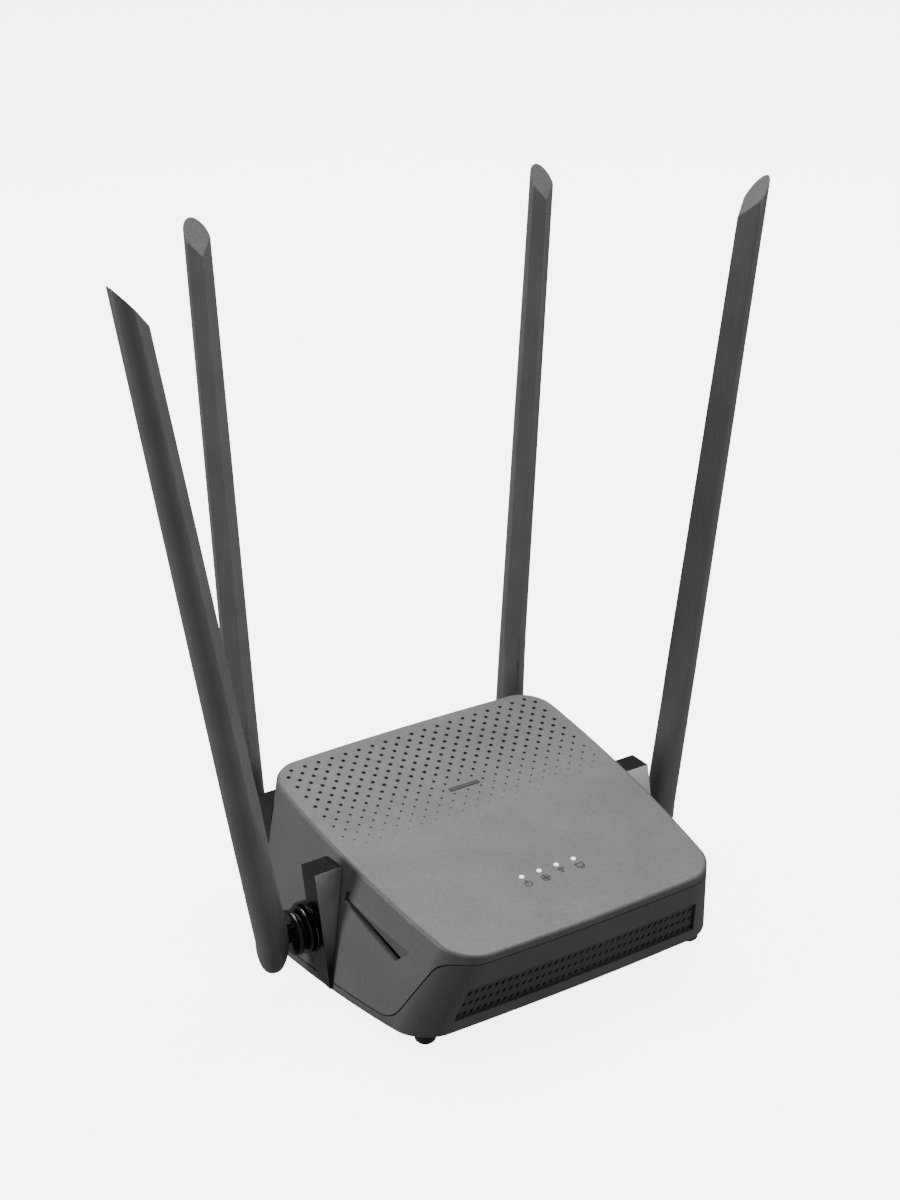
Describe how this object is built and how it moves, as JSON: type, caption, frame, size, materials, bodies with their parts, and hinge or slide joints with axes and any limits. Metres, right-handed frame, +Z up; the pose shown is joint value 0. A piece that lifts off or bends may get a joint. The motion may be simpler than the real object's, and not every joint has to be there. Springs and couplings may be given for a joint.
{
  "type": "wireless router",
  "caption": "Tabletop wireless router: flared wedge case with a vented top, front grille, rear sockets and buttons, and swivelling blade antennas.",
  "frame": {"origin": "under the middle of the whole router's box at rest, on the plane of the feet's undersides", "axes": "+Z up, +X to the right seen from the front, +Y from the front grille towards the rear sockets"},
  "size_m": [0.2336, 0.1286, 0.236],
  "materials": {
    "cover": "fine spark-eroded charcoal plastic",
    "base": "fine spark-eroded charcoal plastic",
    "grille": "matte dark plastic",
    "panel": "matte dark plastic",
    "blade": "satin charcoal plastic",
    "gloss": "polished black plastic",
    "steel": "plated steel",
    "board": "solder-masked glass-epoxy board",
    "alloy": "anodised",
    "sleeve": "shrink sleeve",
    "led": "light emitting diodes on a strip",
    "clear": "clear moulded light pipe",
    "rubber": "dark rubber",
    "black": "moulded black plastic"
  },
  "bodies": {
    "case": {"bottom_case": "base", "capacitor": "sleeve", "case_screw_fl": "steel", "case_screw_fr": "steel", "case_screw_rl": "steel", "case_screw_rr": "steel", "dc_jack": "black", "foot_fl": "rubber", "foot_fr": "rubber", "foot_rl": "rubber", "foot_rr": "rubber", "front_grille": "grille", "heat_sink": "alloy", "lan_jack_1": "black", "lan_jack_2": "black", "lan_jack_3": "black", "lan_jack_4": "black", "led_strip": "led", "left_collar": "gloss", "left_mount": "gloss", "left_washer": "black", "light_pipe": "clear", "line_transformer": "black", "main_board": "board", "power_switch": "black", "rear_left_collar": "gloss", "rear_left_mount": "gloss", "rear_left_washer": "black", "rear_panel": "panel", "rear_right_collar": "gloss", "rear_right_mount": "gloss", "rear_right_washer": "black", "reset_switch": "black", "rf_shield": "steel", "right_collar": "gloss", "right_mount": "gloss", "right_washer": "black", "switch_board": "board", "top_cover": "cover", "wan_jack": "black", "wps_switch": "black"},
    "left_antenna": {"left_hub": "gloss", "left_clip": "steel", "left_blade": "blade"},
    "right_antenna": {"right_hub": "gloss", "right_clip": "steel", "right_blade": "blade"},
    "rear_left_antenna": {"rear_left_hub": "gloss", "rear_left_clip": "steel", "rear_left_blade": "blade"},
    "rear_right_antenna": {"rear_right_hub": "gloss", "rear_right_clip": "steel", "rear_right_blade": "blade"},
    "power_button": {"power_button": "black"},
    "wps_button": {"wps_button": "black"},
    "reset_button": {"reset_button": "black"}
  },
  "joints": [
    {"name": "left_swivel", "type": "hinge", "parent": "case", "child": "left_antenna", "pos_m": [-0.06627, 0.00152, 0.0193], "axis": [-1, 0, 0], "range_deg": [-92, 88]},
    {"name": "right_swivel", "type": "hinge", "parent": "case", "child": "right_antenna", "pos_m": [0.06627, 0.00152, 0.0193], "axis": [-1, 0, 0], "range_deg": [-92, 88]},
    {"name": "rear_left_swivel", "type": "hinge", "parent": "case", "child": "rear_left_antenna", "pos_m": [-0.0525, 0.04727, 0.0193], "axis": [0, 1, 0], "range_deg": [-87, 14]},
    {"name": "rear_right_swivel", "type": "hinge", "parent": "case", "child": "rear_right_antenna", "pos_m": [0.0525, 0.04727, 0.0193], "axis": [0, -1, 0], "range_deg": [-87, 14]},
    {"name": "power_press", "type": "slide", "parent": "case", "child": "power_button", "axis": [0, -1, 0], "range_m": [0, 0.0015], "stiffness_N_per_m": 400},
    {"name": "wps_press", "type": "slide", "parent": "case", "child": "wps_button", "axis": [0, -1, 0], "range_m": [0, 0.001], "stiffness_N_per_m": 400},
    {"name": "reset_press", "type": "slide", "parent": "case", "child": "reset_button", "axis": [0, -1, 0], "range_m": [0, 0.0008], "stiffness_N_per_m": 300}
  ]
}
